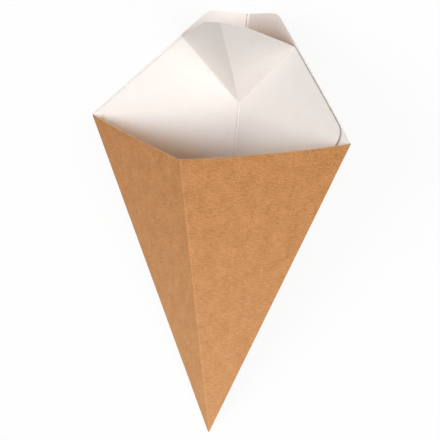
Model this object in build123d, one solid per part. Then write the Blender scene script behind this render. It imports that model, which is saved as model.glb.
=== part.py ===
from build123d import *
import os
from math import asin, cos, hypot, radians, sin, sqrt, tan

# Paper snack cone: one card blank, creased into a four-sided cone with a tall back.
# The blank wraps the back twice, and the inner layer pops forward there as a dip pocket.
# The cone is drawn upright, tip at the origin, +Z up its axis, +Y towards the back and the
# side folds in the XZ plane. At the end it is laid on its left back panel, as it comes to rest.

# Outer wrap, all in millimetres
CONE_LENGTH = 254.0  # tip to the top edge, along the back crease
SIDE_LENGTH = 208.0  # tip to a mouth corner, along a side fold
FRONT_LENGTH = 188.5  # tip to the rim, along the front crease
MOUTH_WIDTH = 151.0  # from one mouth corner to the other
MOUTH_DEPTH = 74.0  # front crease to back crease, at the height of the mouth corners
TOP_WIDTH = 44.6  # straight top edge of the back
TOP_CORNER_RADIUS = 9.0
CARD = 0.4  # thickness of one layer
FOLD_RADIUS = 0.8  # rounding of the folds at the mouth, which runs out towards the tip
FRONT_BOW = 2.5  # how far a front panel bellies out at the mouth
SEAM_SETBACK = 2.0  # glued edge of the wrap, short of the left side fold
SEAM_START = 12.0  # where that edge begins, up the fold from the tip

# Inner flap, which lines the back
FLAP_EDGE_INSET = 0.8  # flap's slanted edge, short of the wrap's slanted edge
FLAP_SEAM_INSET = 5.2  # flap's free edge, short of the right side fold
FLAP_CORNER_RADIUS = 6.0

# Dip pocket, popped out of the flap
POCKET_DEPTH = 50.5  # bottom of the pocket below the top edge, along the back crease
POCKET_HEIGHT = 58.5  # bottom to top of the pocket's front, along its centre crease
POCKET_SHOULDER_DROP = 6.0  # the front's two shoulders, below its top
POCKET_TOP_WIDTH = 29.0  # from shoulder to shoulder
POCKET_FOLD_DEG = 23.4  # lean of the pocket's two slanting creases in front of the back crease

OVERRUN = 5.0  # how far a trimming solid runs past what it trims

half_width = MOUTH_WIDTH / 2
half_depth = MOUTH_DEPTH / 2
mouth_height = sqrt(SIDE_LENGTH**2 - half_width**2)

# Directions from the tip, and the frame of the left back panel
back_crease = Vector(0, half_depth, mouth_height).normalized()
left_fold = Vector(-half_width, 0, mouth_height).normalized()
panel_inward = back_crease.cross(left_fold).normalized()
panel_across = back_crease.cross(panel_inward) * -1
panel_sine = back_crease.cross(left_fold).length
panel_cosine = back_crease.dot(left_fold)

# Slanted edge of the flap, in distances along and off the back crease
wrap_corner = Vector(CONE_LENGTH, TOP_WIDTH / 2)
slant = (Vector(panel_cosine, panel_sine) * SIDE_LENGTH - wrap_corner).normalized()
slant_start = wrap_corner + Vector(-slant.Y, slant.X) * FLAP_EDGE_INSET

pocket_bottom = CONE_LENGTH - POCKET_DEPTH
flap_length = pocket_bottom + POCKET_HEIGHT
form_height = max(CONE_LENGTH, flap_length) + MOUTH_DEPTH
layer_rise = CARD / panel_inward.Z  # a lift along the axis that moves every panel in by one layer


def back_point(along, across):
    """Front-view place of a point of a back panel, from its distances along and off the crease."""
    point = back_crease * along + panel_across * abs(across)
    return (point.X if across < 0 else -point.X, point.Z)


def cone_form():
    """The solid that the creased card encloses: four panels from the tip, the front two bowed."""
    growth = form_height / mouth_height
    width = half_width * growth
    depth = half_depth * growth
    slope = hypot(width, depth)
    belly_x = width / 2 + FRONT_BOW * growth * depth / slope
    belly_y = -depth / 2 - FRONT_BOW * growth * width / slope
    outline = Polyline((width, 0), (0, depth), (-width, 0))
    outline += ThreePointArc((-width, 0), (-belly_x, belly_y), (0, -depth))
    outline += ThreePointArc((0, -depth), (belly_x, belly_y), (width, 0))
    section = make_face(outline)
    section = fillet(section.vertices(), FOLD_RADIUS * growth)
    return loft([Vertex(0, 0, 0), Pos(0, 0, form_height) * section], ruled=True)


def layer(form, number):
    """One layer of card, counted inwards from the outside of the cone."""
    return Pos(0, 0, number * layer_rise) * form - Pos(0, 0, (number + 1) * layer_rise) * form


def front_view_prism(face, direction):
    """A trimming prism that runs from the plane of the side folds to the back or to the front."""
    reach = half_depth * form_height / mouth_height + FRONT_BOW + OVERRUN
    return extrude(Plane.XZ * face, amount=reach, dir=(0, direction, 0))


def wrap_trim():
    """Outline of the wrap: a tall back with slanted shoulders, and a front with a straight rim."""
    mouth_left = (-half_width, mouth_height)
    mouth_right = (half_width, mouth_height)
    top_left = back_point(CONE_LENGTH, -TOP_WIDTH / 2)
    top_right = back_point(CONE_LENGTH, TOP_WIDTH / 2)
    foot = [(half_width, -OVERRUN), (-half_width, -OVERRUN)]
    back = make_face(Polyline(mouth_left, top_left, top_right, mouth_right, *foot, close=True))
    back = fillet(back.vertices().sort_by(Axis.Y)[-2:], TOP_CORNER_RADIUS)
    front_top = (0, FRONT_LENGTH * back_crease.Z)
    front = make_face(Polyline(mouth_left, front_top, mouth_right, *foot, close=True))
    return front_view_prism(back, 1) + front_view_prism(front, -1)


def flap_slant(fold_gap):
    """Place on the flap's slanted edge that lies at a given distance from the side fold."""
    gap_at_start = slant_start.X * panel_sine - slant_start.Y * panel_cosine
    gap_per_length = slant.X * panel_sine - slant.Y * panel_cosine
    return slant_start + slant * ((fold_gap - gap_at_start) / gap_per_length)


def flap_knee():
    """Place where the flap's slanted edge meets the pocket's slanting crease."""
    forward = Vector(0, -back_crease.Z, back_crease.Y)
    crease_rate = tan(radians(POCKET_FOLD_DEG)) / panel_across.dot(forward)
    crease_at_start = (slant_start.X - pocket_bottom) * crease_rate
    travel = (crease_at_start - slant_start.Y) / (slant.Y - slant.X * crease_rate)
    return slant_start + slant * travel


def flap_trim():
    """Outline of the flap: whole on the left, with a free rounded corner and edge on the right."""
    shoulder = POCKET_TOP_WIDTH / 2
    shoulder_length = flap_length - POCKET_SHOULDER_DROP
    knee = flap_knee()
    fold_corner = flap_slant(0)
    free_corner = flap_slant(FLAP_SEAM_INSET)
    outline = Polyline(
        back_point(flap_length, 0),
        back_point(shoulder_length, shoulder),
        back_point(knee.X, knee.Y),
        back_point(free_corner.X, free_corner.Y),
        back_point(FLAP_SEAM_INSET / panel_sine, 0),
        (0, 0),
        (-half_width, 0),
        back_point(fold_corner.X, -fold_corner.Y),
        back_point(knee.X, -knee.Y),
        back_point(shoulder_length, -shoulder),
        close=True,
    )
    face = make_face(outline)
    corner_place = (*back_point(free_corner.X, free_corner.Y), 0)
    free_vertex = face.vertices().sort_by_distance(corner_place)[0]
    return front_view_prism(fillet(free_vertex, FLAP_CORNER_RADIUS), 1)


def popped_flap(flap):
    """Reverse fold: above the crease plane the flap is its own mirror image, leaning forward."""
    lean = radians(POCKET_FOLD_DEG) - asin(back_crease.Y)
    normal = Vector(0, cos(lean), sin(lean))
    crease_plane = Plane(origin=back_crease * pocket_bottom, x_dir=(1, 0, 0), z_dir=normal)
    lower = split(flap, bisect_by=crease_plane, keep=Keep.BOTTOM)
    upper = split(flap, bisect_by=crease_plane, keep=Keep.TOP)
    return lower + mirror(upper, about=crease_plane)


def seam_cut():
    """Strip of the wrap beside the left side fold, where its glued edge stops short."""
    fold_frame = Plane(origin=(0, 0, 0), x_dir=left_fold, z_dir=panel_inward)
    strip = Box(
        SIDE_LENGTH - SEAM_START + OVERRUN,
        SEAM_SETBACK + OVERRUN,
        CARD + OVERRUN,
        align=(Align.MIN, Align.MIN, Align.MAX),
    )
    return fold_frame * Pos(SEAM_START, -SEAM_SETBACK, CARD) * strip


def laid_down(shape):
    """The cone lying on its left back panel, axis along +Y, with its box centred on the origin."""
    axis = Vector(0, 0, 1)
    ahead = (axis - panel_inward * axis.dot(panel_inward)).normalized()
    rest = Plane(origin=(0, 0, 0), x_dir=ahead.cross(panel_inward), z_dir=panel_inward)
    lying = rest.location.inverse() * shape
    box = lying.bounding_box()
    return Pos(-box.center().X, -box.center().Y, -box.min.Z) * lying


form = cone_form()
wrap = layer(form, 0) & wrap_trim()
flap = popped_flap(layer(form, 1) & flap_trim())
snack_cone = laid_down(wrap + flap - seam_cut())

os.makedirs("parts", exist_ok=True)
export_step(snack_cone, "parts/snack_cone.step")
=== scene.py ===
from math import atan2, cos, pi, radians, sin, sqrt, tan

import bmesh
import bpy
from mathutils import Matrix, Vector


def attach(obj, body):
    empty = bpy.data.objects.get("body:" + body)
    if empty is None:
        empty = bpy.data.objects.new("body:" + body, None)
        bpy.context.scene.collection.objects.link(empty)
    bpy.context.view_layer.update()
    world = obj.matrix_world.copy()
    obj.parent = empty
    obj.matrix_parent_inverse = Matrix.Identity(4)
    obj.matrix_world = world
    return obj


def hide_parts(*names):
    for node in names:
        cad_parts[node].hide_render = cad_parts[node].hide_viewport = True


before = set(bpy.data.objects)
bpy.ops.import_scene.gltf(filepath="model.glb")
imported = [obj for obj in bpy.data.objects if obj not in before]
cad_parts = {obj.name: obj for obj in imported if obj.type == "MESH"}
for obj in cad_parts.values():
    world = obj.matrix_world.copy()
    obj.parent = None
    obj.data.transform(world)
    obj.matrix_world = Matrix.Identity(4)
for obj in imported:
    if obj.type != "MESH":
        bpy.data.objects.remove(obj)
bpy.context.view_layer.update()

# The snack cone as its one card blank: a fan of six panels about the tip, wrapped round so that
# the back is double. The blank is drawn in turns, one turn to a panel, and in radii from the tip.
# The cone is worked out upright, in millimetres, tip at the origin, +Z up its axis and +Y to the
# back, and then laid down on its left back panel where the frame has it.

MM = 0.001

# Sizes of the cone, those of the solid in the frame
CONE_LENGTH = 254.0  # tip to the top edge, along the back crease
SIDE_LENGTH = 208.0  # tip to a mouth corner, along a side fold
FRONT_LENGTH = 188.5  # tip to the rim, along the front crease
MOUTH_WIDTH = 151.0  # from one mouth corner to the other
MOUTH_DEPTH = 74.0  # front crease to back crease, at the height of the mouth corners
TOP_WIDTH = 44.6  # straight top edge of the back
TOP_CORNER_RADIUS = 9.0
CARD = 0.4  # thickness of one layer
SEAM_SETBACK = 2.0  # glued edge of the wrap, short of the left side fold

# Sizes that are this one cone's own, a little off the even ones
FRONT_LEFT_BOW = 1.2  # how far a front panel bellies out at the mouth
FRONT_RIGHT_BOW = 3.1
BACK_BOW = 1.3  # the same for the right back panel, which stands clear of the floor
FRONT_SHIFT = -1.1  # front crease off the middle, at the mouth
FLAP_EDGE_INSET = 0.1  # flap's slanted edge at its lower ends, short of the wrap's slanted edge
FLAP_SEAM_INSET = 6.0  # flap's free edge at its top, short of the right side fold
FLAP_SEAM_FOOT = 48.0  # where that edge runs down into the back crease, from the tip
FLAP_CORNER_RADIUS = 7.2

# The dip pocket: its foot on the back crease, the knees where its slanting creases run out into
# the flap's edge, as distances along and off the back crease, and the top of its popped-out front
POCKET_FOOT = 204.2
POCKET_LEFT_KNEE = Vector((238.0, 36.2))
POCKET_RIGHT_KNEE = Vector((236.4, 38.5))
POCKET_TOP = Vector((1.3, 6.0, 247.5))
POCKET_LEFT_SHOULDER = Vector((-10.8, 12.1, 246.9))
POCKET_RIGHT_SHOULDER = Vector((13.3, 12.4, 245.0))

# What the card does at its folds and free edges
FOLD_HALF_WIDTH = 0.9  # rounding of a fold to each side, at the mouth
FRONT_HALF_WIDTH = 0.45  # the same for the front crease, which is crisper
SCORE_BEAD = 0.4  # ridge that scoring leaves on the inside of the back crease
SCORE_GROOVE = 0.2  # groove beside it, on its left
RIDGE_SHARES = (-0.2, 0.5)  # place left of the crease and half width, as shares of the rounding
GROOVE_SHARES = (0.6, 0.3)
POCKET_BEAD = 0.25  # ridge on the pocket's slanting creases
POCKET_RIDGE = 0.1  # how much the pocket's centre crease is rounded off
RIDGE_START_SHARE = 0.25  # share of the way up the front where that is full
POCKET_HOLLOW = 0.4  # how far the pocket's front is hollow between its foot and its rim
SHARP_DEG = 14.0  # a bend of the mesh above this is a crisp crease
CREASE_HALF_WIDTH = 0.5  # rounding of the slanting creases to each side
LAYER_GAP = 0.15  # air between the flap and the wrap
FLAP_SPRING = 0.05  # how much further the flap's free edge stands off the wrap
TIP_CUT = 1.0  # the card ends this short of the tip

# Painted shades of the white face, kept with its points. The mark says how pale a point is painted,
# with painted shade and painted highlight.
# The cover says how much of its view the panels across the cone fill, and so how much brown painted
# shade it gets.
PLAIN_MARK = 0.5
PALE_SHARES = (-0.3, 0.5)  # painted highlight line on the back crease, placed as for the ridge, and the painted shade line beside it
DARK_SHARES = (0.6, 0.45)
FLAP_LINE = 0.7  # how dark the painted shade line is on the flap, and on the wrap
WRAP_LINE = 1.3
POCKET_RIM_SHADE = 0.4  # painted shade: how much darker the pocket's front is painted at its rim
POCKET_SHADOW_COVER = 0.30  # painted shadow of the pocket: cover behind it on the right, at the least
POCKET_SHADOW_RATE = 0.4  # how that grows with the pocket's share of the view
POCKET_WEDGE = 0.84  # the pocket's share of the view right down in its creases
CREASE_PAINTED_LIGHT = 0.02  # painted light: how much less the cover is on the flap's back crease, so it is less shaded
CREASE_PAINTED_LIGHT_REACH = 0.35  # how far off the crease that is so, in turns
PLAIN_EDGE = (0, PLAIN_MARK)  # cover and mark of a cut edge
POCKET_EDGE_HIGHLIGHT = (0, 0.65)  # the same on the right half of the pocket's rim, with a painted highlight
FREE_EDGE_CORE_AND_SHADOW = (0.44, -0.85)  # and on the flap's free edge: brown where the core shows, and darkened as a painted shadow of the gap under the flap

# Mesh density
PANEL_COLUMNS = 14
CREASE_STEPS = (0, 0.15, 0.3, 0.45, 0.6, 0.75, 0.9, 1, 1.3, 2)  # columns by a scored crease, in bands
FOLD_STEPS = (0, 0.35, 0.7, 1, 1.3, 2)  # the same by a side fold
EDGE_STEPS = (0, 0.1, 0.4, 1, 2)  # and by a free edge
LOWER_ROWS = 44
POCKET_ROWS = 12
ARC_STEPS = 8
WELD = 0.001  # points nearer to each other than this are one
HOLE_SIDES = 4  # a hole that the weld leaves is closed if it has no more sides than this

half_width = MOUTH_WIDTH / 2
half_depth = MOUTH_DEPTH / 2
mouth_height = sqrt(SIDE_LENGTH**2 - half_width**2)

AXIS = Vector((0, 0, 1))
BACK = Vector((0, half_depth, mouth_height)).normalized()
FRONT = Vector((FRONT_SHIFT, -half_depth, mouth_height)).normalized()
LEFT = Vector((-half_width, 0, mouth_height)).normalized()
RIGHT = Vector((half_width, 0, mouth_height)).normalized()
CREASES = [RIGHT, BACK, LEFT, FRONT, RIGHT, BACK, LEFT]
PANEL_ANGLE = BACK.angle(LEFT)
INWARD = BACK.cross(LEFT).normalized()  # out of the left back panel, into the cone
LAYER_RISE = CARD / INWARD.z  # a lift along the axis that moves every panel in by one layer
FOLD_BAND = FOLD_HALF_WIDTH / (SIDE_LENGTH * PANEL_ANGLE)
FRONT_BAND = FRONT_HALF_WIDTH / (SIDE_LENGTH * PANEL_ANGLE)
KNEE_MARGIN = FOLD_BAND / 10  # a column this near to the pocket's knee counts as at it
FLAP_TURN = CREASES.index(BACK)
LEFT_TURN = CREASES.index(LEFT)
FRONT_TURN = CREASES.index(FRONT)
WRAP_TURN = CREASES.index(BACK, FRONT_TURN)
SEAM_BAND = SEAM_SETBACK / (SIDE_LENGTH * PANEL_ANGLE)
BACK_INWARD = Vector((0, -BACK.z, BACK.y))  # square to the back crease, into the cone

# Panels of the blank in wrapping order, and the turn that points straight up on the flat blank
FLAP_RIGHT, FLAP_LEFT, FRONT_LEFT, FRONT_RIGHT, WRAP_RIGHT, WRAP_LEFT = range(6)
UPRIGHT_TURN = 3.5

# Materials of the sheet, in order
BROWN_FACE, WHITE_FACE, TAN_EDGE = range(3)


# Outlines of the panels, as points along and off the crease that each panel hangs on

def rounded(before, corner, after, radius):
    """Points of the arc that rounds a corner of an outline."""
    to_before = (before - corner).normalized()
    to_after = (after - corner).normalized()
    half = to_before.angle(to_after) / 2
    middle = corner + (to_before + to_after).normalized() * (radius / sin(half))
    start = corner + to_before * (radius / tan(half)) - middle
    end = corner + to_after * (radius / tan(half)) - middle
    sweep = start.angle_signed(end)
    turns = [Matrix.Rotation(-sweep * step / ARC_STEPS, 2) for step in range(ARC_STEPS + 1)]
    return [middle + turn @ start for turn in turns]


fold_line = Vector((cos(PANEL_ANGLE), sin(PANEL_ANGLE)))
wrap_corner = Vector((CONE_LENGTH, TOP_WIDTH / 2))
slant = (fold_line * SIDE_LENGTH - wrap_corner).normalized()
flap_start = wrap_corner + Vector((-slant.y, slant.x)) * FLAP_EDGE_INSET


def slant_at(start, fold_gap):
    """Place on a slanted edge that lies at a given distance from the side fold."""
    gap = start.x * fold_line.y - start.y * fold_line.x
    rate = slant.x * fold_line.y - slant.y * fold_line.x
    return start + slant * ((fold_gap - gap) / rate)


def flap_outline(knee, free):
    """Half of the flap below the pocket, from the pocket's foot to the side fold or short of it."""
    points = [Vector((POCKET_FOOT, 0)), knee]
    if not free:
        return points + [slant_at(flap_start, 0)]
    foot = Vector((FLAP_SEAM_FOOT, 0))
    corner = slant_at(flap_start, FLAP_SEAM_INSET)
    return points + rounded(knee, corner, foot, FLAP_CORNER_RADIUS) + [foot]


def wrap_outline(setback):
    """Half of the wrap's back, from the middle of its top edge to the side fold or short of it."""
    top = Vector((CONE_LENGTH, 0))
    end = slant_at(wrap_corner, setback)
    points = [top] + rounded(top, wrap_corner, end, TOP_CORNER_RADIUS) + [end]
    if setback:
        points.append(Vector((setback / sin(PANEL_ANGLE), 0)))
    return points


def front_outline():
    """A front panel's rim, from the front crease to the side fold."""
    return [Vector((FRONT_LENGTH, 0)), fold_line * SIDE_LENGTH]


# Each panel in wrapping order: its outline, the crease that the outline is drawn from, the other
# crease, and how far the panel bellies out
PANELS = [
    (flap_outline(POCKET_RIGHT_KNEE, True), 1, 0, BACK_BOW),
    (flap_outline(POCKET_LEFT_KNEE, False), 1, 2, 0),
    (front_outline(), 3, 2, FRONT_LEFT_BOW),
    (front_outline(), 3, 4, FRONT_RIGHT_BOW),
    (wrap_outline(0), 5, 4, BACK_BOW),
    (wrap_outline(SEAM_SETBACK), 5, 6, 0),
]


def reach(outline, angle):
    """Lowest and highest radius of a panel at an angle from the crease it is drawn from."""
    hits = []
    ray = Vector((cos(angle), sin(angle)))
    for first, second in zip(outline, outline[1:]):
        side_first = ray.x * first.y - ray.y * first.x
        side_second = ray.x * second.y - ray.y * second.x
        if side_first * side_second <= 0 and side_first != side_second:
            share = side_first / (side_first - side_second)
            hits.append(first.lerp(second, share).length)
    if not hits:
        hits = [max(outline, key=lambda point: atan2(point.y, point.x)).length]
    has_free_edge = outline[-1].y == 0
    return (min(hits) if has_free_edge else TIP_CUT, max(hits))


def widest(outline):
    """Largest angle that an outline reaches, from the crease it is drawn from."""
    return max(atan2(point.y, point.x) for point in outline)


# The folded sheet

def bowed(turn):
    """Direction from the tip on a panel that bellies out, before the folds are rounded."""
    panel = min(int(turn), len(PANELS) - 1)
    share = turn - panel
    first, second = CREASES[panel], CREASES[panel + 1]
    flat = first * sin((1 - share) * PANEL_ANGLE) + second * sin(share * PANEL_ANGLE)
    outward = first.cross(second).normalized()
    outward *= -1 if outward.z > 0 else 1
    bow = PANELS[panel][3] / SIDE_LENGTH * 4 * share * (1 - share)
    return flat / sin(PANEL_ANGLE) + outward * bow


def direction(turn):
    """Direction from the tip at a place of the blank, with rounded folds."""
    crease = round(turn)
    offset = turn - crease
    band = FRONT_BAND if crease == FRONT_TURN else FOLD_BAND
    if crease in (0, len(PANELS)) or abs(offset) >= band:
        return bowed(turn)
    share = (offset / band + 1) / 2
    before, after = bowed(crease - band), bowed(crease + band)
    return before * (1 - share) ** 2 + CREASES[crease] * 2 * share * (1 - share) + after * share**2


def layer_of(turn):
    """Layers of card that lie outside the sheet: one behind the flap, none behind the wrap."""
    return min(max((LEFT_TURN - turn) / SEAM_BAND, 0), 1)


def score_offset(turn, shares):
    """Distance from the middle of a line along the nearer back crease, in its half widths."""
    place, half_width_share = shares
    leftward = min(turn - FLAP_TURN, turn - WRAP_TURN, key=abs) / FOLD_BAND
    return abs(leftward - place) / half_width_share


def score_bead(turn):
    """Groove and ridge on the inside of the two back creases, the groove on the cone's left."""
    ridge = max(0, 1 - score_offset(turn, RIDGE_SHARES) ** 2)
    groove = max(0, 1 - score_offset(turn, GROOVE_SHARES))
    return BACK_INWARD * (SCORE_BEAD * ridge - SCORE_GROOVE * groove)


def painted_crease_lines(turn):
    """How pale the inside is painted across a back crease: a painted shade line and a painted
    highlight line beside it.
    """
    pale = max(0, 1 - score_offset(turn, PALE_SHARES))
    dark = max(0, 1 - score_offset(turn, DARK_SHARES))
    dark *= FLAP_LINE if turn < FRONT_TURN else WRAP_LINE
    return PLAIN_MARK + (pale - dark) / 2


def flap_spring(turn):
    """Stand-off of the flap's right half from the wrap, growing towards its free edge."""
    if turn >= FLAP_TURN:
        return Vector((0, 0, 0))
    right_inward = Vector((-INWARD.x, INWARD.y, INWARD.z))
    return right_inward * FLAP_SPRING * (FLAP_TURN - turn) ** 2


def lift_of(turn, side):
    """Lift along the axis of the sheet's outer face, side 0, or its inner face, side 1."""
    layer = layer_of(turn)
    return LAYER_RISE * (layer + side) + layer * LAYER_GAP / INWARD.z


def on_face(turn, radius, side):
    """Place on one face of the sheet, square in from the outer face of the outer layer."""
    way = direction(turn)
    lift = lift_of(turn, side)
    return AXIS * lift + way * max(radius - lift * way.z, TIP_CUT) + flap_spring(turn)


def along_path(points, share):
    """Place at a share of the way along a path of straight legs."""
    legs = [(second - first).length for first, second in zip(points, points[1:])]
    way = share * sum(legs)
    for first, second, leg in zip(points, points[1:], legs):
        if way <= leg:
            return first.lerp(second, way / leg)
        way -= leg
    return points[-1]


def knee_turn(panel):
    """Turn of the pocket's knee on one half of the flap."""
    knee = PANELS[panel][0][1]
    side = 1 if panel == FLAP_LEFT else -1
    return FLAP_TURN + side * atan2(knee.y, knee.x) / PANEL_ANGLE


def pocket_share(panel, turn):
    """How far a turn of the flap lies from the back crease, as a share of the way to the knee."""
    return abs(turn - FLAP_TURN) / abs(knee_turn(panel) - FLAP_TURN)


def pocket_frame(panel):
    """Rim of half of the pocket's front, from its top to its knee, and its white face's normal."""
    foot = on_face(FLAP_TURN, POCKET_FOOT, 1)
    knee = on_face(knee_turn(panel), PANELS[panel][0][1].length, 1)
    shoulder = (POCKET_RIGHT_SHOULDER, POCKET_LEFT_SHOULDER)[panel]
    normal = (knee - foot).cross(POCKET_TOP - foot).normalized()
    return [POCKET_TOP, shoulder, knee], normal * (-1 if normal.y > 0 else 1)


def sheet_place(turn, radius, side):
    """Upright place on the outer face, side 0, or the inner face, side 1, of the wrapped sheet."""
    place = on_face(turn, radius, side)
    return place if turn > FRONT_TURN and side == 0 else place + score_bead(turn)


def crease_place(turn, radius, side):
    """Place on the pocket's slanting creases, with the ridge that scoring leaves on the inside."""
    right_normal = pocket_frame(FLAP_RIGHT)[1]
    left_normal = pocket_frame(FLAP_LEFT)[1]
    forward = (right_normal + left_normal + BACK_INWARD * 2).normalized()
    return on_face(turn, radius, 1) + forward * (POCKET_BEAD if side else -CARD)


def pocket_place(panel, turn, radius, share, side):
    """Place on the pocket's popped-out front, at a share of the way from its crease to its rim."""
    rim, normal = pocket_frame(panel)
    over = pocket_share(panel, turn)
    ridge = max(0, 1 - ((turn - FLAP_TURN) / FOLD_BAND) ** 2)
    other = pocket_frame(FLAP_LEFT - panel)[1]
    middle = (normal + other).normalized()
    white = on_face(turn, radius, 1).lerp(along_path(rim, over), share)
    white -= middle * POCKET_RIDGE * ridge * min(1, share / RIDGE_START_SHARE)
    white -= middle * POCKET_HOLLOW * 4 * share * (1 - share) * (1 - over)
    return white if side else white - (middle if turn == FLAP_TURN else normal) * CARD


def panel_turns(panel):
    """The columns of a panel, close together beside its folds."""
    outline, near, far = PANELS[panel][:3]
    near_fold = [FOLD_BAND * step for step in CREASE_STEPS]
    end = widest(outline) / PANEL_ANGLE
    free_edge = end < 1 - FOLD_BAND / 2
    far_fold = [end - FOLD_BAND * step for step in (EDGE_STEPS if free_edge else FOLD_STEPS)]
    start, stop = near_fold[-1], far_fold[-1]
    middle = [start + (stop - start) * step / PANEL_COLUMNS for step in range(1, PANEL_COLUMNS)]
    marks = [atan2(point.y, point.x) / PANEL_ANGLE for point in outline]
    if panel <= FLAP_LEFT:
        rim = pocket_frame(panel)[0]
        to_shoulder = (rim[1] - rim[0]).length
        to_knee = (rim[2] - rim[1]).length
        marks.append(abs(knee_turn(panel) - FLAP_TURN) * to_shoulder / (to_shoulder + to_knee))
    marks = [mark for mark in marks if start < mark < stop]
    shares = {round(share, 6) for share in near_fold + middle + marks + far_fold}
    turns = sorted(near + (far - near) * share for share in shares)
    # A column on a crease is left to one of the two panels there
    first = 0 if panel in (FLAP_RIGHT, FRONT_LEFT) else 1
    last = len(turns) - 1 if panel == FLAP_LEFT else len(turns)
    return turns[first:last]


def column_radii(panel, turn):
    """Radii of the rows of one column, from the tip or a free edge to the panel's upper edge."""
    outline, near = PANELS[panel][:2]
    low, high = reach(outline, min(abs(turn - near) * PANEL_ANGLE, widest(outline)))
    low = max(low, TIP_CUT + lift_of(turn, 0))
    step = min(CREASE_HALF_WIDTH, (high - low) / 3)
    shares = [row / LOWER_ROWS for row in range(LOWER_ROWS + 1)]
    return [low + (high - 2 * step - low) * share for share in shares] + [high - step, high]


def laid_down():
    """Matrix from the upright cone in millimetres to where the frame has it lying."""
    ahead = (AXIS - INWARD * AXIS.dot(INWARD)).normalized()
    turn = Matrix((ahead.cross(INWARD), ahead, INWARD)).to_4x4()
    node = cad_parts["snack_cone"]
    tip = min((vertex.co for vertex in node.data.vertices), key=lambda place: place.y)
    return Matrix.Translation((tip.x, tip.y, 0)) @ turn @ Matrix.Scale(MM, 4)


def column_places(panel, turn):
    """One column of the blank, as a list of (radius, outer place, inner place)."""
    radii = column_radii(panel, turn)
    places = [(radius, *[sheet_place(turn, radius, side) for side in (0, 1)]) for radius in radii]
    if panel > FLAP_LEFT:
        return places
    top = radii[-1]
    if abs(turn - FLAP_TURN) >= abs(knee_turn(panel) - FLAP_TURN) - KNEE_MARGIN:
        return places + [places[-1]] * POCKET_ROWS
    places[-1] = (top, *[crease_place(turn, top, side) for side in (0, 1)])
    rim_place = along_path(pocket_frame(panel)[0], pocket_share(panel, turn))
    length = (rim_place - places[-1][2]).length
    for row in range(POCKET_ROWS):
        share = CREASE_HALF_WIDTH / length if row == 0 else row / (POCKET_ROWS - 1)
        share = min(share, (row + 1) / POCKET_ROWS)
        faces = [pocket_place(panel, turn, top, share, side) for side in (0, 1)]
        places.append((top + share * length, *faces))
    return places


def cover(panel, place, hidden):
    """Share of a white face's view that the panels across the cone, or the pocket's front, fill."""
    first, second = CREASES[panel], CREASES[panel + 1]
    inward = first.cross(second).normalized()
    inward *= -1 if inward.z < 0 else 1
    in_front = panel in (FRONT_LEFT, FRONT_RIGHT)
    across = BACK * SIDE_LENGTH if in_front else FRONT * FRONT_LENGTH
    corners = [Vector((0, 0, 0)), LEFT * SIDE_LENGTH, across, RIGHT * SIDE_LENGTH]
    if panel >= WRAP_RIGHT:
        right_rim = pocket_frame(FLAP_RIGHT)[0]
        left_rim = pocket_frame(FLAP_LEFT)[0]
        corners = [on_face(FLAP_TURN, POCKET_FOOT, 1)] + right_rim[::-1] + left_rim[1:]
    rays = [(corner - place).normalized() for corner in corners]
    total = 0
    for ray, after in zip(rays, rays[1:] + rays[:1]):
        total += ray.angle(after, 0) * ray.cross(after).normalized().dot(inward)
    # This share is the mask of the brown painted shade
    share = POCKET_WEDGE if hidden else min(1, abs(total) / (2 * pi))
    # Painted shadow of the pocket on the right back panel
    return POCKET_SHADOW_COVER + POCKET_SHADOW_RATE * share if panel == WRAP_RIGHT else share


def behind_flap(panel, turn, radius):
    """Whether a place of the wrap lies below the pocket's creases, hidden by the flap."""
    flap_panel = panel - WRAP_RIGHT
    offset = abs(turn - WRAP_TURN)
    if flap_panel < 0 or offset >= abs(knee_turn(flap_panel) - FLAP_TURN):
        return False
    return radius < reach(PANELS[flap_panel][0], offset * PANEL_ANGLE)[1]


def cut_edge(panel, turn):
    """Material of the sheet's cut edge, with its cover and mark: painted shadow on the flap's free
    edge, a painted highlight on the pocket's rim.
    """
    if panel in (FRONT_LEFT, FRONT_RIGHT):
        return TAN_EDGE, PLAIN_EDGE
    if panel != FLAP_RIGHT:
        return WHITE_FACE, PLAIN_EDGE
    return WHITE_FACE, FREE_EDGE_CORE_AND_SHADOW if turn < knee_turn(FLAP_RIGHT) else POCKET_EDGE_HIGHLIGHT


def sheet_columns():
    """Columns of the blank, as lists of (flat, outer, inner, cover, mark), and their cut edges."""
    columns = []
    edges = []
    rest = laid_down()
    for panel in range(len(PANELS)):
        for turn in panel_turns(panel):
            spin = (turn - UPRIGHT_TURN) * PANEL_ANGLE
            ray = Vector((sin(spin), cos(spin))) * MM
            points = []
            for row, (radius, outer, inner) in enumerate(column_places(panel, turn)):
                popped = max(0, row - LOWER_ROWS - 2) / POCKET_ROWS
                covered = 0 if popped else cover(panel, inner, behind_flap(panel, turn, radius))
                # Painted light along the flap's back crease
                covered -= CREASE_PAINTED_LIGHT * max(0, 1 - abs(turn - FLAP_TURN) / CREASE_PAINTED_LIGHT_REACH)
                # Painted shade on the pocket's front, darker towards its rim; elsewhere the painted
                # crease lines
                mark = PLAIN_MARK - POCKET_RIM_SHADE * popped if popped else painted_crease_lines(turn)
                points.append((ray * radius, rest @ outer, rest @ inner, covered, mark))
            columns.append(points)
            edges.append(cut_edge(panel, turn))
    return columns, edges


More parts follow.
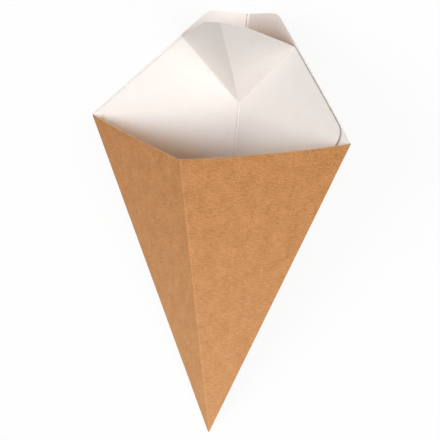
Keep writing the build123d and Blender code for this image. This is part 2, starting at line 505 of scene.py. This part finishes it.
def build_sheet():
    """Closed mesh of the folded card: brown face, white face, and cut edges, tan on the front."""
    mesh = bpy.data.meshes.new("paper_cone")
    work = bmesh.new()
    flat_map = work.loops.layers.uv.new("blank")
    cover_map = work.loops.layers.float.new("cover")
    painted_mark_map = work.loops.layers.float.new("painted_mark")
    columns, edges = sheet_columns()
    corners = []
    for points in columns:
        corners.append([[work.verts.new(place) for place in point[1:3]] for point in points])

    def add_face(places, material, shade=None):
        verts = [corners[column][row][side] for column, row, side in places]
        face = work.faces.new(verts)
        face.material_index = material
        face.smooth = material != TAN_EDGE
        for loop, (column, row, side) in zip(face.loops, places):
            loop[flat_map].uv = columns[column][row][0]
            marks = columns[column][row][3:]
            loop[cover_map], loop[painted_mark_map] = shade or marks

    for left in range(len(columns) - 1):
        right = left + 1
        top = min(len(columns[left]), len(columns[right])) - 1
        for row in range(top):
            ring = [(left, row), (right, row), (right, row + 1), (left, row + 1)]
            add_face([(column, at, 0) for column, at in ring], BROWN_FACE)
            add_face([(column, at, 1) for column, at in reversed(ring)], WHITE_FACE)
        upper_left = (left, len(columns[left]) - 1)
        upper_right = (right, len(columns[right]) - 1)
        for first, second in ((upper_left, upper_right), ((right, 0), (left, 0))):
            add_face([(*first, 0), (*second, 0), (*second, 1), (*first, 1)], *edges[left])
    bmesh.ops.remove_doubles(work, verts=work.verts, dist=WELD * MM)
    bmesh.ops.dissolve_degenerate(work, edges=work.edges, dist=WELD * MM)
    bmesh.ops.holes_fill(work, edges=work.edges, sides=HOLE_SIDES)
    bmesh.ops.recalc_face_normals(work, faces=work.faces)
    for edge in work.edges:
        kinds = {face.material_index for face in edge.link_faces}
        edge.smooth = len(kinds) == 1 and edge.calc_face_angle(0) < radians(SHARP_DEG)
    work.to_mesh(mesh)
    work.free()
    return mesh


cone = bpy.data.objects.new("paper_cone", build_sheet())
bpy.context.collection.objects.link(cone)
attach(cone, "root")
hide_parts("snack_cone")


# Materials

KRAFT = (0.504, 0.226, 0.080)
KRAFT_YELLOW = (0.504, 0.230, 0.076)
KRAFT_PINK = (0.504, 0.222, 0.084)
KRAFT_TIP_SHEEN = (0.69, 0.346, 0.147)  # painted sheen: the brown face is painted paler towards the tip
KRAFT_SWING = (0.52, 0.30, 0.142)  # how its lighter and darker fibres differ
KRAFT_SPECK = (0.20, 0.09, 0.035)
WHITE = (0.94, 0.895, 0.86)
SHADE_BROWN = (0.70, 0.47, 0.30)  # brown painted shade, full far down inside where the cone is darkest
SHADE_BROWN_START = 0.356  # cover where that brown painted shade begins, and where it is full
SHADE_BROWN_END = 0.64
PAINTED_MARK_DEPTH = 0.4  # how strong the painted shades and highlights on the white face are
CUT_EDGE = (0.58, 0.41, 0.27)  # the card's core at the front rim
FRONT_CREASE_PALENESS = 0.12  # how pale the line on the front crease is
PALE_LINE_PLACE = 0.5  # its middle, right of the crease
PALE_LINE_HALF_WIDTH = 0.75

# Noise on the flat blank: size of the grains across and along the cone in millimetres, and detail
HUE_NOISE = (3, 4, 3)
SPECK_NOISE = (0.9, 1.1, 0)
SPECK_LEVEL = 0.855  # noise above which there is a dark speck
NOISE_ROUGHNESS = 0.6

# Layers of noise that make the faces lighter and darker, the finest first, with their depths
KRAFT_LAYERS = (
    ((0.9, 0.9, 3), 0.65),
    ((3.2, 0.6, 2), 0.75),
    ((0.6, 3.2, 2), 0.22),
    ((7, 10, 5), 0.45),
)
WHITE_LAYERS = (
    ((1.6, 2.2, 2), 0.06),
    ((8, 11, 2), 0.05),
)
MIDDLE_LEVEL = 0.5  # level of a layer that leaves the colour as it is

# Finish: roughness, gloss and depth of the fine bumps in millimetres
KRAFT_ROUGHNESS = 0.8
KRAFT_SPECULAR = 0.2
KRAFT_BUMP = 0.06
WHITE_ROUGHNESS = 0.6
WHITE_BUMP = 0.05
PLAIN_SPECULAR = 0.25
EDGE_ROUGHNESS = 0.9
BUMP_STRENGTH = 0.5


def new_material(name, colour, roughness, specular=PLAIN_SPECULAR):
    """A plain material, with its node tree and its shader."""
    material = bpy.data.materials.new(name)
    material.use_nodes = True
    shader = material.node_tree.nodes["Principled BSDF"]
    shader.inputs["Base Color"].default_value = (*colour, 1)
    shader.inputs["Roughness"].default_value = roughness
    shader.inputs["Specular IOR Level"].default_value = specular
    return material, material.node_tree, shader


def blank_place(tree):
    """Place on the flat blank, in metres from the tip."""
    flat = tree.nodes.new("ShaderNodeUVMap")
    flat.uv_map = "blank"
    return flat.outputs["UV"]


def blank_noise(tree, kind):
    """Noise on the flat blank, given by the size of its grains across and along, and its detail."""
    across, along, detail = kind
    mapping = tree.nodes.new("ShaderNodeMapping")
    mapping.inputs["Scale"].default_value = (1 / (across * MM), 1 / (along * MM), 1)
    noise = tree.nodes.new("ShaderNodeTexNoise")
    noise.inputs["Scale"].default_value = 1
    noise.inputs["Detail"].default_value = detail
    noise.inputs["Roughness"].default_value = NOISE_ROUGHNESS
    tree.links.new(blank_place(tree), mapping.inputs["Vector"])
    tree.links.new(mapping.outputs["Vector"], noise.inputs["Vector"])
    return noise.outputs["Fac"]


def noise_layers(tree, layers):
    """Layers of noise on the flat blank, each with its depth."""
    return [(blank_noise(tree, kind), depth) for kind, depth in layers]


def math_node(tree, operation, first, second):
    """A maths node on two values, each plain or linked."""
    node = tree.nodes.new("ShaderNodeMath")
    node.operation = operation
    for socket, value in zip(node.inputs, (first, second)):
        if isinstance(value, (int, float)):
            socket.default_value = value
        else:
            tree.links.new(value, socket)
    return node.outputs["Value"]


def shaded(tree, colour, swing, layers):
    """A colour made lighter and darker, along a swing of colour, by layers with their depths."""
    level = 0.0
    for noise, depth in layers:
        layer = math_node(tree, "MULTIPLY", math_node(tree, "SUBTRACT", noise, MIDDLE_LEVEL), depth)
        level = math_node(tree, "ADD", layer, level)
    total = tree.nodes.new("ShaderNodeVectorMath")
    total.operation = "MULTIPLY_ADD"
    total.inputs[1].default_value = swing
    tree.links.new(level, total.inputs[0])
    tree.links.new(colour, total.inputs[2])
    return total.outputs["Vector"]


def mixed(tree, share, first, second):
    """Two colours mixed, each plain or linked."""
    mix = tree.nodes.new("ShaderNodeMix")
    mix.data_type = "RGBA"
    tree.links.new(share, mix.inputs["Factor"])
    for socket, colour in ((mix.inputs["A"], first), (mix.inputs["B"], second)):
        if isinstance(colour, tuple):
            socket.default_value = (*colour, 1)
        else:
            tree.links.new(colour, socket)
    return mix.outputs["Result"]


def ramp(tree, value, start, end, kind="LINEAR"):
    """A value's share of the way from a start to an end, kept between nothing and one."""
    share = tree.nodes.new("ShaderNodeMapRange")
    share.interpolation_type = kind
    share.inputs["From Min"].default_value = start
    share.inputs["From Max"].default_value = end
    tree.links.new(value, share.inputs["Value"])
    return share.outputs["Result"]


def radius_share(tree, start, end):
    """How far a place is along the cone, from nothing at one radius to one at another."""
    length = tree.nodes.new("ShaderNodeVectorMath")
    length.operation = "LENGTH"
    tree.links.new(blank_place(tree), length.inputs[0])
    return ramp(tree, length.outputs["Value"], start * MM, end * MM)


def painted(tree, name):
    """A number kept with the points of the sheet."""
    attribute = tree.nodes.new("ShaderNodeAttribute")
    attribute.attribute_name = name
    return attribute.outputs["Fac"]


def painted_shade_share(tree):
    """How much brown painted shade the white face gets, by how much of its view the panels across the
    cone fill.
    """
    return ramp(tree, painted(tree, "cover"), SHADE_BROWN_START, SHADE_BROWN_END, "SMOOTHSTEP")


def front_crease_pale_line(tree):
    """A thin paler line just right of the front crease."""
    spin = (FRONT_TURN - UPRIGHT_TURN) * PANEL_ANGLE
    gap = tree.nodes.new("ShaderNodeVectorMath")
    gap.operation = "DOT_PRODUCT"
    gap.inputs[1].default_value = (cos(spin), -sin(spin), 0)
    tree.links.new(blank_place(tree), gap.inputs[0])
    off = math_node(tree, "SUBTRACT", gap.outputs["Value"], PALE_LINE_PLACE * MM)
    off = math_node(tree, "ABSOLUTE", off, 0)
    return ramp(tree, off, PALE_LINE_HALF_WIDTH * MM, 0)


def add_bump(tree, shader, height, depth):
    """Fine bumps on a face, from a noise and their depth."""
    bump = tree.nodes.new("ShaderNodeBump")
    bump.inputs["Strength"].default_value = BUMP_STRENGTH
    bump.inputs["Distance"].default_value = depth * MM
    tree.links.new(height, bump.inputs["Height"])
    tree.links.new(bump.outputs["Normal"], shader.inputs["Normal"])


def kraft_material():
    """Uncoated brown card: grain, fibres both ways, clouds and a few dark specks, with a painted
    sheen towards the tip.
    """
    material, tree, shader = new_material("kraft_face", KRAFT, KRAFT_ROUGHNESS, KRAFT_SPECULAR)
    layers = noise_layers(tree, KRAFT_LAYERS)
    hue = mixed(tree, blank_noise(tree, HUE_NOISE), KRAFT_YELLOW, KRAFT_PINK)
    # Painted sheen: paler towards the tip
    hue = mixed(tree, radius_share(tree, SIDE_LENGTH, TIP_CUT), hue, KRAFT_TIP_SHEEN)
    pale_line = math_node(tree, "ADD", front_crease_pale_line(tree), MIDDLE_LEVEL)
    colour = shaded(tree, hue, KRAFT_SWING, layers + [(pale_line, FRONT_CREASE_PALENESS)])
    speck = math_node(tree, "GREATER_THAN", blank_noise(tree, SPECK_NOISE), SPECK_LEVEL)
    tree.links.new(mixed(tree, speck, colour, KRAFT_SPECK), shader.inputs["Base Color"])
    add_bump(tree, shader, layers[0][0], KRAFT_BUMP)
    return material


def white_material():
    """Coated white card, with painted shade and painted highlight that are kept with its points."""
    material, tree, shader = new_material("white_face", WHITE, WHITE_ROUGHNESS)
    layers = noise_layers(tree, WHITE_LAYERS)
    # Brown painted shade where the panels across the cone fill much of the view
    base = mixed(tree, painted_shade_share(tree), WHITE, SHADE_BROWN)
    # Painted shade and highlight: the crease lines, the pocket's darker rim and the marks on the cut
    # edges
    colour = shaded(tree, base, WHITE, layers + [(painted(tree, "painted_mark"), PAINTED_MARK_DEPTH)])
    tree.links.new(colour, shader.inputs["Base Color"])
    add_bump(tree, shader, layers[0][0], WHITE_BUMP)
    return material


edge_material = new_material("cut_edge", CUT_EDGE, EDGE_ROUGHNESS)[0]
for material in (kraft_material(), white_material(), edge_material):
    cone.data.materials.append(material)


# Floor, light and camera

FLOOR_DROP = 0.3  # the floor lies just under the card
FLOOR_SIZE = 2000.0
CAMERA_PLACE = Vector((-7.9, 83.4, 406.3))
CAMERA_AIM = Vector((4.9, 13.6, 30.0))
CAMERA_ROLL_DEG = 0.5
CAMERA_FOCAL_PX = 700.0
PHOTO_PX = 440
SENSOR_WIDTH = 36.0
CAMERA_NEAR = 10.0
FLOOR_WHITE = (0.9, 0.9, 0.9)
FLOOR_ROUGHNESS = 0.9
FLOOR_GLOW = 0.87  # share of plain white that the camera sees in the floor, so its shadow is faint

# Softboxes: name, place and side in metres, power in watts; all look at the cone
LAMPS = (
    ("right_softbox", (0.68, -0.03, 1.0), 0.7, 10.6),
    ("left_softbox", (-0.91, 0.07, 0.77), 0.7, 8.6),
    ("top_fill", (0.0, 1.15, 0.3), 0.5, 1.4),
    ("tip_fill", (0.0, -1.1, 0.4), 0.6, 2.15),
    ("high_fill", (-0.1, 0.45, 1.1), 0.5, 0.8),
)


def seen_by_camera(tree, share):
    """A share that holds for the camera and for mirror-like views, and is nothing for the light."""
    rays = tree.nodes.new("ShaderNodeLightPath")
    seen = math_node(tree, "MAXIMUM", rays.outputs["Is Camera Ray"], rays.outputs["Is Glossy Ray"])
    seen = math_node(tree, "MAXIMUM", seen, rays.outputs["Is Transmission Ray"])
    return math_node(tree, "MULTIPLY", seen, share)


def build_floor():
    """Plain white floor, just under the cone."""
    bpy.ops.mesh.primitive_plane_add(size=FLOOR_SIZE * MM, location=(0, 0, -FLOOR_DROP * MM))
    floor = bpy.context.object
    floor.name = "floor"
    material, tree, shader = new_material("floor_white", FLOOR_WHITE, FLOOR_ROUGHNESS)
    glow = tree.nodes.new("ShaderNodeEmission")
    glow.inputs["Strength"].default_value = 1
    mix = tree.nodes.new("ShaderNodeMixShader")
    tree.links.new(seen_by_camera(tree, FLOOR_GLOW), mix.inputs["Fac"])
    tree.links.new(shader.outputs["BSDF"], mix.inputs[1])
    tree.links.new(glow.outputs["Emission"], mix.inputs[2])
    tree.links.new(mix.outputs["Shader"], tree.nodes["Material Output"].inputs["Surface"])
    floor.data.materials.append(material)


def build_light():
    """White surroundings, which give no light themselves, and the softboxes."""
    world = bpy.data.worlds.new("studio")
    bpy.context.scene.world = world
    world.use_nodes = True
    tree = world.node_tree
    tree.nodes["Background"].inputs["Color"].default_value = (1, 1, 1, 1)
    tree.links.new(seen_by_camera(tree, 1), tree.nodes["Background"].inputs["Strength"])
    for name, place, side, power in LAMPS:
        lamp = bpy.data.lights.new(name, "AREA")
        lamp.size = side
        lamp.energy = power
        softbox = bpy.data.objects.new(name, lamp)
        softbox.location = place
        softbox.rotation_euler = (-Vector(place)).to_track_quat("-Z", "Y").to_euler()
        bpy.context.collection.objects.link(softbox)


def build_camera():
    """Camera at the photograph's viewing angle, with a slight roll."""
    lens = bpy.data.cameras.new("camera")
    camera = bpy.data.objects.new("camera", lens)
    bpy.context.collection.objects.link(camera)
    back = (CAMERA_PLACE - CAMERA_AIM).normalized()
    right = Vector((0, 1, 0)).cross(back).normalized()
    turn = Matrix((right, back.cross(right), back)).transposed()
    turn = turn @ Matrix.Rotation(radians(CAMERA_ROLL_DEG), 3, "Z")
    camera.matrix_world = Matrix.Translation(CAMERA_PLACE * MM) @ turn.to_4x4()
    lens.sensor_width = SENSOR_WIDTH
    lens.lens = SENSOR_WIDTH * CAMERA_FOCAL_PX / PHOTO_PX
    lens.clip_start = CAMERA_NEAR * MM
    bpy.context.scene.camera = camera


build_floor()
build_light()
build_camera()
bpy.context.scene.view_settings.view_transform = "Standard"
